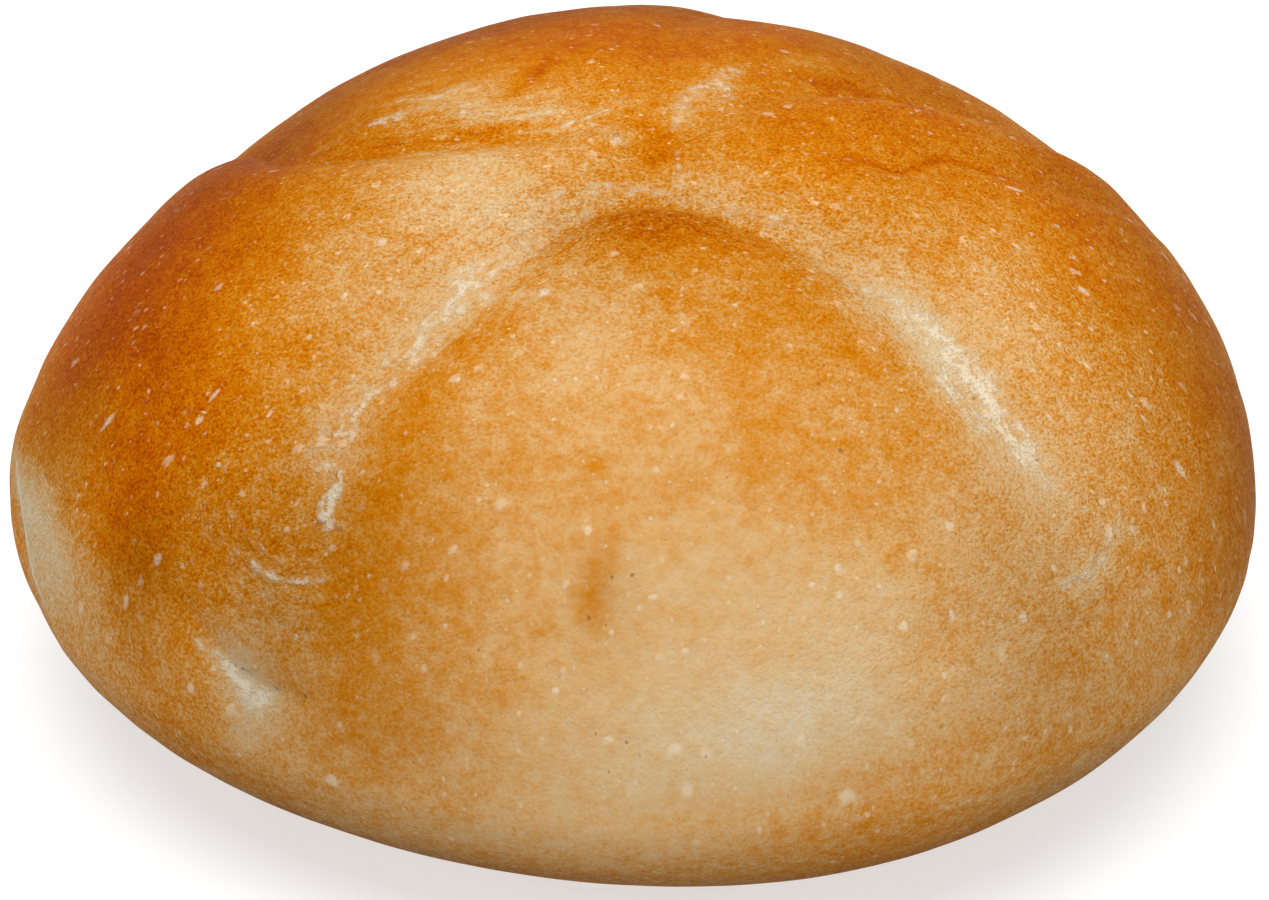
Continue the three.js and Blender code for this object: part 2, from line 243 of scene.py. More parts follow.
# Marks along lines: half width, height, paleness, browning, line of turn, fall and strength
MARKS = [
    # the fold right of the front petal: white crackle in a yellow valley, and a fuzzy patch where it ends
    (2.1, 0.1, 0.76, 0, [
        (48, 22, 0), (48, 26, 0.5), (49, 29.5, 0.75), (50, 32.5, 0.9), (49.5, 36, 1.05), (48.7, 40, 1.1),
        (48, 44, 1.1), (47.5, 47, 1.05), (47, 50.5, 0.95), (46.5, 54, 0.85), (47, 57, 0.75), (47, 61, 0),
    ]),
    (1.1, 0.05, 0.8, 0, [
        (48.5, 33, 0), (47.5, 35.5, 0.9), (45, 39, 1), (44, 42.5, 1.05), (44.3, 46, 0.9), (45, 50, 0),
    ]),
    (3.3, 0, 0, -0.26, [
        (49, 20, 0.3), (48, 30, 0.9), (46, 39, 1.15), (45, 47, 0.9), (46, 55, 0.6), (46, 63, 0.2),
    ]),
    (3.0, 0, 0.2, -0.06, [(40, 7, 0.3), (55, 11, 1), (62, 16, 1), (62, 24, 0.5)]),
    (1.3, 0, 0.55, -0.08, [
        (53, 62, 0), (52, 64, 0.8), (50, 66.5, 1), (47, 67.8, 1), (43, 68, 0.9), (38, 67.8, 0),
    ]),
    # over the front petal's top: pale strands, and a brown band below the edge
    (0.8, 0.05, 0.62, 0, [
        (-41, 10, 0), (-37, 8, 0.9), (-28, 6.8, 0.9), (-13, 6.5, 0.8), (3, 6.1, 0.9), (18, 6.9, 0.8),
        (30, 8.5, 0.6), (38, 10.5, 0.7), (45, 13.3, 1.05), (50, 16.5, 0.9), (50, 21, 0),
    ]),
    (1.7, 0, 0, -0.1, [
        (-40, 11, 0.6), (-30, 7.5, 0.9), (-13, 6, 0.8), (5, 5.6, 0.7), (22, 6.5, 0.8), (34, 9, 1),
        (43, 13, 1.1), (50, 20, 0.9),
    ]),
    (5.0, 0, 0, 0.2, [
        (-24, 14, 0.2), (-18, 13, 0.6), (-8, 13, 1), (5, 13.3, 1.1), (18, 14.5, 1.05), (29, 18, 0.75),
        (35, 24, 0.4), (39, 31, 0.25), (40, 38, 0.1),
    ]),
    # the fold left of it: a crest of pale fuzz with a side strand, a valley made browner, partly real
    # browning and partly painted shade, and a flake
    (2.2, 0.14, 0.62, -0.06, [
        (-24, 8, 0), (-29, 9.5, 0.5), (-32, 12, 0.6), (-33, 15, 0.75), (-36, 19, 0.8), (-38.5, 22.5, 0.9),
        (-39, 26, 1.05), (-38, 30, 1), (-38, 34, 0.9), (-39, 38, 0.95), (-40, 42, 0.95), (-40, 46, 1),
        (-40, 49, 0.95), (-40, 51, 0.8), (-40, 53, 0),
    ]),
    (3.0, 0, 0.16, -0.09, [
        (-35, 13, 0.2), (-39, 19, 0.3), (-41, 26, 0.9), (-42, 36, 1), (-42, 44, 1), (-41, 50, 0.4),
    ]),
    (0.8, 0.08, 0.72, -0.05, [
        (-38, 27, 0), (-35, 26.2, 0.8), (-30, 24.8, 0.9), (-25, 24.3, 0.8), (-20, 24.5, 0.9),
        (-17, 24.8, 0),
    ]),
    (2.5, -0.05, 0, 0.11, [
        (-18, 11, 0.5), (-22, 13, 0.9), (-27, 17, 1), (-28.5, 20, 1), (-28, 25, 0.6), (-28, 30, 0.7),
        (-31, 34, 0.7), (-32, 38, 0.6), (-31, 43, 0.9), (-30, 47.5, 1), (-30, 52, 0.7), (-32, 58, 0.3),
    ]),
    (1.0, 0.22, 0.62, -0.05, [
        (-36.5, 49.5, 0), (-36.5, 51, 1.1), (-36, 53.5, 1.5), (-36, 55.5, 1.5), (-35, 57.2, 1.3),
        (-33.5, 59, 0.8), (-31.5, 60.5, 0),
    ]),
    # gathered skin at its foot: fine pale arcs
    (0.4, 0.12, 0.8, -0.05, [
        (-45, 63, 0), (-42.5, 64.4, 0.8), (-40, 65.3, 1), (-38, 65.6, 1.1), (-36, 65.4, 1),
        (-34, 64.6, 0.8), (-32, 63.3, 0),
    ]),
    (0.4, 0.08, 0.6, 0, [
        (-47, 58, 0), (-45.5, 60.5, 0.8), (-42.5, 62, 1), (-39.5, 63, 0.8), (-37, 62.8, 0),
    ]),
    (3.0, 0, 0.25, -0.06, [
        (-50, 56, 0), (-49, 60, 0.9), (-46, 63.5, 1), (-41, 66.5, 1), (-36, 67.5, 0.8), (-31, 66.5, 0),
    ]),
    # cream dough in the cracks at the left rim
    (1.2, 0, 0.95, -0.1, [
        (-43, 77.5, 0), (-41.5, 79, 0.8), (-40, 80.5, 1), (-38.3, 82, 1.05), (-36.5, 82.6, 1),
        (-35.3, 81.3, 0.6), (-34.5, 80, 0),
    ]),
    (2.4, 0, 0.6, -0.27, [(-41, 77, 0.4), (-38.5, 79.5, 1), (-37.5, 83, 1), (-38, 87, 0.5)]),
    (0.4, 0.05, 0.8, 0, [(-45, 77.6, 0), (-44, 78.2, 0.9), (-43.2, 79.2, 0.9), (-42.5, 80.3, 0)]),
    (1.7, 0, 1, -0.2, [
        (-84, 80, 0), (-79, 81, 0.9), (-76, 81.5, 1.1), (-73.5, 83.2, 1.3), (-71, 85.2, 1.3),
        (-69, 87.5, 1.1), (-67, 90.3, 0.8), (-66, 93, 0),
    ]),
    (3.0, 0, 0.35, -0.22, [(-84, 81, 0.3), (-76, 80, 1), (-70, 79, 1), (-65, 82, 0.8), (-64, 90, 0.3)]),
    # ridges and furrows of the left and back petals, the furrows browner, partly real browning and partly
    # painted shade
    (1.6, -0.06, 0, 0.14, [
        (-101, 30, 0.3), (-101, 24, 0.9), (-102, 19, 1), (-102, 13, 1), (-97, 8, 0.7), (-92, 5, 0),
    ]),
    (0.5, -0.08, 0, 0.16, [
        (-103, 19, 0), (-105, 16.5, 0.9), (-108, 14.5, 1), (-111, 12, 0.9), (-114, 10, 0),
    ]),
    (0.8, 0.14, 0.62, -0.06, [
        (-110, 32, 0), (-111, 29.5, 0.8), (-113, 26, 1), (-117, 24, 1), (-119, 21, 1), (-115, 17.5, 0.9),
        (-114, 14, 0.8), (-117, 11.5, 0.9), (-126, 10.5, 1), (-135, 11.5, 0),
    ]),
    (0.9, 0.1, 0.5, -0.06, [
        (-117, 33, 0), (-119, 29.6, 0.8), (-122, 26.5, 1), (-124, 23, 1), (-131, 22.5, 0.7), (-138, 23, 0),
    ]),
    (0.9, -0.14, 0, 0.16, [
        (-125, 18, 0), (-130, 16.6, 0.9), (-141, 16.2, 1), (-149, 17.8, 0.9), (-155, 20, 0),
    ]),
    (0.35, 0.08, 0.75, -0.04, [
        (-104, 10.5, 0), (-111, 8.9, 0.9), (-124, 7.1, 1), (-150, 6.2, 0.9), (-168, 7.3, 0.7), (-176, 9, 0),
    ]),
    (4.0, 0, 0, -0.12, [(-118, 30, 0.3), (-122, 24, 1), (-124, 16, 1), (-130, 10, 0.5)]),
    (0.4, 0.08, 0.7, -0.04, [(-50, 8.5, 0), (-46, 9.6, 0.9), (-41, 11, 1), (-37, 12.2, 0.9), (-34, 14, 0)]),
    (3.0, 0, 0.2, -0.03, [(-66, 18, 0), (-60, 15, 0.9), (-54, 12.5, 1), (-48, 11, 0.6), (-44, 10, 0)]),
    # the hub: a brown streak with pale dough on both sides
    (1.0, -0.03, 0, 0.11, [
        (179, 5, 0), (178, 3.6, 0.8), (150, 2.6, 1), (68, 1.6, 1), (26, 2.4, 0.9), (14, 4.4, 0.3),
        (10, 6, 0),
    ]),
    (1.2, 0, 0.5, -0.1, [(-120, 5, 0), (-110, 2.4, 1), (-100, 1, 0.6), (-90, 0.6, 0)]),
    (1.3, 0.05, 0.6, -0.1, [
        (125, 3, 0), (142, 4.7, 0.8), (152, 7.5, 1), (155, 10.5, 1), (152, 14, 1), (152, 18, 0.8),
        (150, 22, 0),
    ]),
    (1.2, 0.04, 0.6, -0.08, [(135, 9, 0), (141, 11.8, 1), (148, 14.5, 1), (152, 17, 0)]),
    (0.35, 0.05, 0.6, -0.04, [(142, 4.7, 0), (83, 3, 0.8), (43, 4.5, 1), (33, 6.5, 0.8), (29, 8, 0)]),
    # the crooked fold on the right petal, and a soft one behind it, their furrows browner, partly real
    # browning and partly painted shade
    (0.45, -0.14, 0, 0.2, [
        (86, 16, 0), (88, 19.3, 0.7), (88, 21.4, 1), (87, 23.5, 1), (91, 25.3, 1), (95, 27.2, 1),
        (98, 30.6, 1), (97, 33.6, 0.9), (97, 36, 0.6), (98, 39, 0),
    ]),
    (1.2, -0.06, 0, 0.12, [
        (146, 22, 0), (141, 23.8, 0.8), (137, 25.2, 1), (134, 29, 1), (122, 30, 1), (112, 31, 0.6),
        (106, 33, 0),
    ]),
    (1.5, 0, 0.3, -0.1, [(150, 24, 0), (147, 26, 0.9), (144, 29.7, 1), (140, 33, 0.6), (136, 36, 0)]),
    # reddish streak on the front petal
    (1.4, 0, 0, 0.06, [(12, 28, 0), (14, 34, 0.8), (14, 42, 1), (12, 50, 0.6), (12, 56, 0)]),
]
MARK_REACH = 3                  # half widths
STRONGEST_MARK = 2

CRUST_RAMP = [  # browning, base colour
    (0.0, (0.60, 0.50, 0.34)),
    (0.2, (0.59, 0.42, 0.225)),
    (0.4, (0.58, 0.325, 0.118)),
    (0.5, (0.55, 0.25, 0.056)),
    (0.6, (0.53, 0.19, 0.01)),
    (0.7, (0.50, 0.145, 0.0)),
    (0.8, (0.46, 0.105, 0.0)),
    (0.9, (0.40, 0.075, 0.0)),
    (1.0, (0.33, 0.052, 0.0)),
]
PALE_COLOUR = (0.70, 0.60, 0.44)

# Single blisters: turn, fall, half width round the roll, half width down it
BLISTERS = [
    # left
    (-67, 61, 0.35, 0.95), (-61, 26, 0.5, 0.5), (-57, 49.5, 0.25, 0.75), (-56, 53, 0.3, 0.45),
    (-55, 33, 0.3, 0.3), (-53, 38.5, 0.3, 0.3), (-53, 78, 0.35, 0.7), (-51, 30.5, 0.25, 0.3),
    (-51, 70, 0.45, 0.6), (-50, 56, 0.25, 0.25), (-49, 48, 0.2, 0.4), (-44, 85, 0.35, 0.6),
    (-29, 95, 0.7, 0.8),
    # front
    (-8, 72, 0.3, 0.3), (-6, 52, 0.35, 0.45), (-3, 64, 0.3, 0.3), (-3, 78, 0.5, 0.3),
    (1, 59.5, 0.4, 0.25), (3, 79, 0.6, 0.6), (4, 66, 0.35, 0.35), (4, 85, 0.5, 0.75),
    (14, 78.5, 0.5, 0.6), (17, 59, 0.3, 0.3), (18, 88, 0.9, 0.8), (20, 57.5, 0.3, 0.45),
    (25, 66, 0.45, 0.55), (30, 66, 0.3, 0.55), (33, 56, 0.45, 0.5), (35, 86, 0.4, 0.22),
    (37, 69.5, 0.35, 0.45),
    # right
    (40, 75, 0.25, 0.25), (40, 88, 0.28, 0.5), (42, 65.5, 0.25, 0.4), (45, 80, 0.25, 0.3),
    (51, 60, 0.2, 0.25), (53, 50, 0.25, 0.35), (53, 67, 0.2, 0.55), (54, 80.5, 0.35, 0.4),
    (57, 76, 0.25, 0.4), (63, 49, 0.2, 0.45), (63, 81, 0.2, 0.35), (64, 58, 0.22, 0.4),
    (64, 66, 0.45, 1.1), (65, 55, 0.22, 0.5), (65, 76, 0.28, 0.45), (69, 40, 0.2, 0.3),
    (69, 47, 0.25, 0.3), (70, 64, 0.15, 0.4), (74, 55, 0.2, 0.3), (75, 44.5, 0.35, 0.6),
    (76, 36, 0.25, 0.6), (86, 52, 0.2, 0.25), (87, 40.5, 0.3, 0.3), (93, 36, 0.3, 0.9),
    (101, 54, 0.35, 0.35),
]
BLISTER_REACH = 5               # in half widths, and places further out have none
NO_BLISTER = 9.0                # an offset that stands for none
BLISTER_UNEVENNESS = 1.2
BLISTER_EDGE = (1.2, 0.5)       # in half widths, where its colour starts and where it is full
BLISTER_SHOULDER = (1.1, 0.1)   # the same for its height
BLISTER_HEIGHT = 0.045
BLISTER_STRENGTH = 0.6
BLISTER_COLOUR = (0.70, 0.57, 0.40)
PINPRICK_COLOUR = (0.24, 0.08, 0.025)

# Spots all over, most of them blisters and the rest pinpricks: spacing, smallest and largest half width,
# blisters' strength, pinpricks' strength, seed
SPOT_LAYERS = [
    (1.8, 0.16, 0.56, 0.44, 0.62, 3.1),
    (0.85, 0.1, 0.28, 0.5, 0.55, 41.7),
]
SPOT_BEND = 0.4                 # how far the mottling pushes spots out of place and round
SPOT_STRETCH = (1, 1, 0.65)     # spots are taller than wide
SPOT_UNEVENNESS = 0.6
SPOT_EDGE = (1.1, 0.4)          # in half widths, as for the single blisters
PINPRICK_EDGE = (0.45, 0.15)
BLISTER_DRAW = (0.3, 0.9)       # a spot's draw from 0 to 1 that starts a blister, and that makes it full
PINPRICK_DRAW = (0.3, 0.2)
SPOT_HEIGHT = 0.15              # of the layer's largest half width
PINPRICK_DEPTH = 0.08

# The skin's fine textures, which are noises from about -0.5 to 0.5
NOISE_DETAIL = 2.0
GRAIN_NOISE = (0.3, 0.65)       # size, and how strong its finer detail is
MOTTLE_NOISE = (1.1, 0.6)
STREAK_NOISE = (1.0, 0.6)
STREAKS = (0.35, 1.4)           # streaks in a millimetre, along the skin's flow and across it
MOTTLE_BROWNING = (0.29, 0.05)  # where there is no grain, and more with the grain
GRAIN_BROWNING = 0.42
GRAIN_LIGHTNESS = -0.09
# Painted shade in the wrinkles' furrows and painted light on their ridges, given through the browning
FURROW_PAINTED_SHADING = -0.5
GRAIN_HEIGHT = 0.2
MOTTLE_HEIGHT = 0.2
FURROW_HEIGHT = 0.35

# Pale skin, which crackle breaks into flakes
STREAK_CRACKLE = 1.6
MOTTLE_CRACKLE = 2
GRAIN_CRACKLE = 1
FLAKE_EDGE = (0.5, 0.95)        # of paleness and crackle together
PALE_EDGE = (0.05, 0.4)         # paleness where flakes start, and where they are full
FLAKE_COVER = (0.2, 0.75)       # at paleness 0, and more at paleness 1
FLAKE_HEIGHT = 0.03

ROUGHNESS = (0.46, 0.3)         # without grain, and more with the grain
GLOSS = 0.005
GLOSS_TINT = (1, 0.8, 0.55, 1)

# Photograph's view: the camera looks down by this angle, from this distance to the middle of the roll
CAMERA_ELEVATION = 33
CAMERA_DISTANCE = 500
CAMERA_LENS = 166.4
CAMERA_SENSOR = 36
CAMERA_CLIP = (10, 10000)
CAMERA_ORBIT_HEIGHT = 22
CAMERA_AIM = (0.01, -3.14, 19.3)

# Soft studio light over a pale floor that glows a little, so that it shows nearly white
SKY_STRENGTH = 0.51
KEY_WIDTH = 800
KEY_POWER = 6.8                 # in watts
KEY_PLACE = (-20, -100, 780)
FLOOR_HALF = 3000
FLOOR_COLOUR = (0.46, 0.46, 0.46, 1)
FLOOR_GLOW = 0.62
FLOOR_ROUGHNESS = 0.9
FLOOR_GLOSS = 0.1
WHITE = (1, 1, 1, 1)


# ---- The form --------------------------------------------------------------------------------------------

def superellipse(angle, exponent):
    """Two coordinates on a superellipse of radius 1, at an angle from the second."""
    across = np.maximum(np.sin(angle), 0) ** (2 / exponent)
    along = np.maximum(np.cos(angle), 0) ** (2 / exponent)
    return across, along


def profile(fall):
    """Radius and height of the dome at a fall."""
    across, along = superellipse(np.radians(np.minimum(fall, 90)), CROWN_EXPONENT)
    down, out = superellipse(np.radians(np.maximum(fall, 90) - 90), UNDERSIDE_EXPONENT)
    upper = fall <= 90
    radius = np.where(upper, RADIUS * across, BASE_RADIUS + (RADIUS - BASE_RADIUS) * out)
    height = np.where(upper, WAIST_HEIGHT + CROWN_RISE * along, WAIST_HEIGHT * (1 - down))
    return radius, height


def plan_scale(angle):
    """How far the outline reaches at an angle from +X, as a share of its mean radius."""
    return 1 + sum(
        cosine * np.cos(waves * angle) + sine * np.sin(waves * angle) for waves, cosine, sine in PLAN_WAVES)


def on_dome(turn, fall, inward=1.0):
    """Places on the plain dome, drawn in towards its axis where inward is below 1."""
    angle = np.radians(np.asarray(turn, float) - 90)
    radius, height = profile(np.asarray(fall, float))
    reach = radius * plan_scale(angle) * inward
    return np.stack([reach * np.cos(angle), reach * np.sin(angle), height + 0 * reach], -1)


def unit(vectors):
    return vectors / np.maximum(np.linalg.norm(vectors, axis=-1, keepdims=True), 1e-12)


def dome_frame(turn, fall):
    """Outward normal, with the directions down the flank and round the roll."""
    step = 0.2  # degrees
    safe_fall = np.clip(fall, 2 * step, 180 - 2 * step)
    down = unit(on_dome(turn, safe_fall + step) - on_dome(turn, safe_fall - step))
    around = unit(on_dome(turn + step, safe_fall) - on_dome(turn - step, safe_fall))
    return unit(np.cross(down, around)), down, around


def catmull_rom(rows):
    """A smooth chain through the rows, with LINE_STEPS pieces in each stretch."""
    rows = np.array(rows, float)
    padded = np.vstack([2 * rows[0] - rows[1], rows, 2 * rows[-1] - rows[-2]])
    share = (np.arange(LINE_STEPS) / LINE_STEPS)[:, None]
    chain = []
    for before, start, end, after in zip(padded, padded[1:], padded[2:], padded[3:]):
        turning = (2 * before - 5 * start + 4 * end - after) * share ** 2
        closing = (3 * start - before - 3 * end + after) * share ** 3
        chain.append(0.5 * (2 * start + (end - before) * share + turning + closing))
    return np.vstack(chain + [rows[-1:]])


class Line:
    """A line on the dome, smoothed through rows of turn, fall and a value."""

    def __init__(self, rows):
        turn, fall, self.value = catmull_rom(rows).T
        self.points = on_dome(turn, fall)
        along = np.gradient(self.points, axis=0)
        self.sideways = np.cross(dome_frame(turn, fall)[0], unit(along))
        lengths = np.linalg.norm(np.diff(self.points, axis=0), axis=1)
        self.travel = np.concatenate([[0], np.cumsum(lengths)])

    def near(self, places, reach):
        """The places within reach, by number, with their distance and offset sideways from the line, and the
        line's value, travel and point next to them."""
        low, high = self.points.min(0) - reach, self.points.max(0) + reach
        chosen = np.flatnonzero(((places > low) & (places < high)).all(1))
        picked = places[chosen]
        start, chord = self.points[:-1], np.diff(self.points, axis=0)
        length_sq = (chord ** 2).sum(1)
        best = np.full(len(picked), np.inf)
        index = np.zeros(len(picked), int)
        share = np.zeros(len(picked))
        for piece in range(len(chord)):
            offset = picked - start[piece]
            part = np.clip(offset @ chord[piece] / length_sq[piece], 0, 1)
            distance = np.linalg.norm(offset - part[:, None] * chord[piece], axis=1)
            closer = distance < best
            best[closer] = distance[closer]
            index[closer] = piece
            share[closer] = part[closer]

        def between(values):
            blend = share if values.ndim == 1 else share[:, None]
            return values[index] * (1 - blend) + values[index + 1] * blend

        point = between(self.points)
        offset = ((picked - point) * between(self.sideways)).sum(1)
        return chosen, best, offset, between(self.value), between(self.travel), point


class Crease:
    """A fold line, with the distance of any place from it."""

    def __init__(self, over, wall, slope, lip, line):
        self.over = over
        self.wall = wall
        self.slope = slope
        self.lip = lip
        self.line = Line(line)
        self.line.value = np.maximum(self.line.value, 0)
        self.reach = max(slope, wall * (1 + LIP_REACH * LIP_WIDTH))

    def nearest(self, places):
        """Each place's distance and side (1 on the upper petal), and the line's depth, travel and point next
        to it."""
        chosen, distance, offset, depth, travel, point = self.line.near(places, self.reach)
        found = dict(distance=np.full(len(places), self.reach), point=places.copy())
        found.update((name, np.zeros(len(places))) for name in ("side", "depth", "travel"))
        found["distance"][chosen] = distance
        found["side"][chosen] = np.clip(self.over * offset / np.maximum(distance, 1e-9), -1, 1)
        found["depth"][chosen] = depth
        found["travel"][chosen] = travel
        found["point"][chosen] = point
        return found


def crease_relief(creases, found):
    """Height that the folds add: their hollows below the dome, and the lips of the petals above it."""
    sunk, raised = 0, 0
    for name, crease in creases.items():
        near = found[name]
        upper = np.clip(0.5 + 0.5 * near["side"] / SIDE_BLEND, 0, 1)
        on_wall = np.clip(near["distance"] / crease.wall, 0, 1)
        on_slope = np.clip(near["distance"] / crease.slope, 0, 1)
        lower_cut = (1 - on_slope) ** WALL_CURVE * (1 + SLOPE_FULLNESS * on_slope)
        cut = upper * (1 - on_wall) ** WALL_CURVE + (1 - upper) * lower_cut
        sunk = sunk + (near["depth"] * cut) ** CREASE_BLEND
        from_lip = (near["distance"] - crease.wall) / (LIP_WIDTH * crease.wall)
        raised = raised + upper * crease.lip * near["depth"] * np.exp(-(from_lip ** 2))
    return raised - sunk ** (1 / CREASE_BLEND)


def spot_shape(places, turn, fall, across, downward):
    """1 in the middle of a spot and falling away round it."""
    normal, down, around = dome_frame(turn, fall)
    offset = places - on_dome(turn, fall)
    shares = [offset @ around / across, offset @ down / downward, offset @ normal / max(across, downward)]
    return np.exp(-sum(share ** 2 for share in shares))


def spot_relief(places):
    return sum(height * spot_shape(places, *spot) for *spot, height in SPOTS.values())


def noise_at(places, size, seed):
    """Smooth noise between about -1 and 1, with lumps of the given size."""
    return np.array([noise.noise(Vector(place)) for place in places / size + seed * SEED_SHIFT])


def geodesic(frequency):
    """Directions and triangles of an icosahedron with each edge split into frequency pieces."""
    golden = (1 + math.sqrt(5)) / 2
    corners = np.array([
        (-1, golden, 0), (1, golden, 0), (-1, -golden, 0), (1, -golden, 0),
        (0, -1, golden), (0, 1, golden), (0, -1, -golden), (0, 1, -golden),
        (golden, 0, -1), (golden, 0, 1), (-golden, 0, -1), (-golden, 0, 1),
    ])
    faces = [
        (0, 11, 5), (0, 5, 1), (0, 1, 7), (0, 7, 10), (0, 10, 11), (1, 5, 9), (5, 11, 4), (11, 10, 2),
        (10, 7, 6), (7, 1, 8), (3, 9, 4), (3, 4, 2), (3, 2, 6), (3, 6, 8), (3, 8, 9), (4, 9, 5), (2, 4, 11),
        (6, 2, 10), (8, 6, 7), (9, 8, 1),
    ]
    rows, columns = np.meshgrid(np.arange(frequency + 1), np.arange(frequency + 1), indexing="ij")
    inside = rows + columns <= frequency
    number = np.cumsum(inside.ravel()).reshape(inside.shape) - 1
    one_way = number[:-1, :-1], number[1:, :-1], number[:-1, 1:]
    other_way = number[1:, :-1], number[1:, 1:], number[:-1, 1:]
    fits_one = (rows + columns < frequency)[:-1, :-1]
    fits_other = (rows + columns < frequency - 1)[:-1, :-1]
    patch = np.vstack([
        np.stack([part[fits_one] for part in one_way], 1),
        np.stack([part[fits_other] for part in other_way], 1),
    ])
    row, column = rows[inside] / frequency, columns[inside] / frequency
    points, triangles = [], []
    for first, second, third in corners[np.array(faces)]:
        triangles.append(patch + len(points) * len(row))
        points.append(first + np.outer(row, second - first) + np.outer(column, third - first))
    points = unit(np.vstack(points))
    _, kept, merged = np.unique(np.round(points, 6), axis=0, return_index=True, return_inverse=True)
    return points[kept], merged.reshape(-1)[np.vstack(triangles)]


# ---- The crust -------------------------------------------------------------------------------------------

def crust_places(directions):
    """Turn, fall and place on the dome for each direction, before any relief."""
    turn = np.degrees(np.arctan2(directions[:, 0], -directions[:, 1]))
    polar = np.degrees(np.arccos(np.clip(directions[:, 2], -1, 1)))
    on_top = 90 * polar / WAIST_POLAR_ANGLE
    below = 90 + 90 * (polar - WAIST_POLAR_ANGLE) / (BASE_POLAR_ANGLE - WAIST_POLAR_ANGLE)
    fall = np.minimum(np.where(polar <= WAIST_POLAR_ANGLE, on_top, below), 180)
    inward = np.clip((180 - polar) / (180 - BASE_POLAR_ANGLE), 0, 1)
    return turn, fall, on_dome(turn, fall, np.where(polar > BASE_POLAR_ANGLE, inward, 1))


def snapped(places, creases):
    """Moves the places nearest to a fold line onto it, so that the line stays sharp."""
    nearest = np.full(len(places), SNAP_DISTANCE)
    moved = places.copy()
    for crease in creases.values():
        near = crease.nearest(places)
        onto = (near["distance"] < nearest) & (near["depth"] > SNAP_DEPTH)
        moved[onto] = near["point"][onto]
        nearest[onto] = near["distance"][onto]
    return moved


def patch_field(places, level, patches):
    """The level, changed in each patch."""
    return level + sum(change * spot_shape(places, *patch) for *patch, change in patches)


def crease_flows(creases, found):
    """For each fold: travel along it, offset across it, and how wrinkled it makes the skin."""
    for crease, near in zip(creases.values(), found.values()):
        width = WRINKLE_REACH * np.where(near["side"] > 0, crease.wall, crease.slope)
        amount = np.clip(near["depth"] / WRINKLE_FULL_DEPTH, 0, 1) * np.exp(-(near["distance"] / width) ** 2)
        yield near["travel"], near["distance"] * near["side"], amount


def whorl_flows(places):
    """For each whorl: the way round it, the distance from its middle, and how wrinkled it makes the skin."""
    for turn, fall, inner, outer, direction, spread, strength in WHORLS:
        normal, down, around = dome_frame(turn, fall)
        offset = places - on_dome(turn, fall)
        radius = np.linalg.norm(offset, axis=1)
        angle = np.arctan2(offset @ down, offset @ around) - math.radians(direction)
        angle = (angle + math.pi) % (2 * math.pi) - math.pi
        across = (2 * radius - inner - outer) / (outer - inner)
        amount = strength * np.exp(-across ** 4 - (angle / math.radians(spread)) ** 4)
        yield angle * (inner + outer) / 2, radius, amount * (offset @ normal > -outer)


def wrinkle_fields(places, creases, found):
    """The skin's flow (along and across the wrinkles), and how wrinkled it is: none where two flows meet."""
    flow = np.zeros((len(places), 3))
    best = np.zeros(len(places))
    second = np.zeros(len(places))
    share = np.clip(patch_field(places, WRINKLING, WRINKLED_PATCHES), 0, 1)
    flows = [(along, across, amount * share) for along, across, amount in crease_flows(creases, found)]
    flows += whorl_flows(places)
    for number, (along, across, amount) in enumerate(flows):
        stronger = amount > best
        second = np.maximum(second, np.minimum(amount, best))
        best[stronger] = amount[stronger]
        level = np.full(len(places), WRINKLE_APART * number)
        flow[stronger] = np.stack([along, across, level], 1)[stronger]
    return flow, best - second


def wrinkle_relief(flow, amount):
    relief = np.zeros(len(flow))
    chosen = np.flatnonzero(amount > WRINKLE_LEAST)
    for seed, (length, width, height) in enumerate(WRINKLES, WRINKLE_SEED):
        scaled = flow[chosen] / np.array([length, width, 1])
        relief[chosen] += height * amount[chosen] * noise_at(scaled, 1, seed)
    return relief


def mark_fields(places):
    """Height, paleness and browning that the marks add."""
    height, paleness, browning = np.zeros((3, len(places)))
    for half_width, rise, pale, brown, rows in MARKS:
        chosen, distance, _, strength, _, _ = Line(rows).near(places, MARK_REACH * half_width)
        share = np.clip(strength, 0, STRONGEST_MARK) * np.exp(-(distance / half_width) ** 2)
        height[chosen] += rise * share
        paleness[chosen] = np.maximum(paleness[chosen], pale * share)
        browning[chosen] += brown * share
    return height, paleness, browning


def blister_field(places):
    """Offset from the nearest single blister, in its half widths, or NO_BLISTER."""
    fields = np.full((len(places), 3), NO_BLISTER)
    closest = np.full(len(places), np.inf)
    for turn, fall, across, downward in BLISTERS:
        normal, down, around = dome_frame(turn, fall)
        offset = places - on_dome(turn, fall)
        local = np.stack([offset @ around / across, offset @ down / downward, offset @ normal], 1)
        ratio = np.linalg.norm(local, axis=1)
        closer = ratio < closest
        fields[closer] = local[closer]
        closest[closer] = ratio[closer]
    fields[closest > BLISTER_REACH] = NO_BLISTER
    return fields


def set_attribute(mesh, name, values):
    """Stores a number or a vector for each of the mesh's points."""
    kind, field = ("FLOAT", "value") if values.ndim == 1 else ("FLOAT_VECTOR", "vector")
    mesh.attributes.new(name, kind, "POINT").data.foreach_set(field, values.astype(np.float32).ravel())


def crust_browning(places, fall, marked):
    """The marks' browning with the patches and lumps of it, and more towards the flat base."""
    browning = marked + patch_field(places, BROWNING, BROWNING_PATCHES)
    for seed, (size, change) in enumerate(BROWNING_LUMPS, BROWNING_SEED):
        browning += change * noise_at(places, size, seed)
    start, end = BASE_BROWNING_FALLS
    return browning + BASE_BROWNING * np.clip((fall - start) / (end - start), 0, 1)


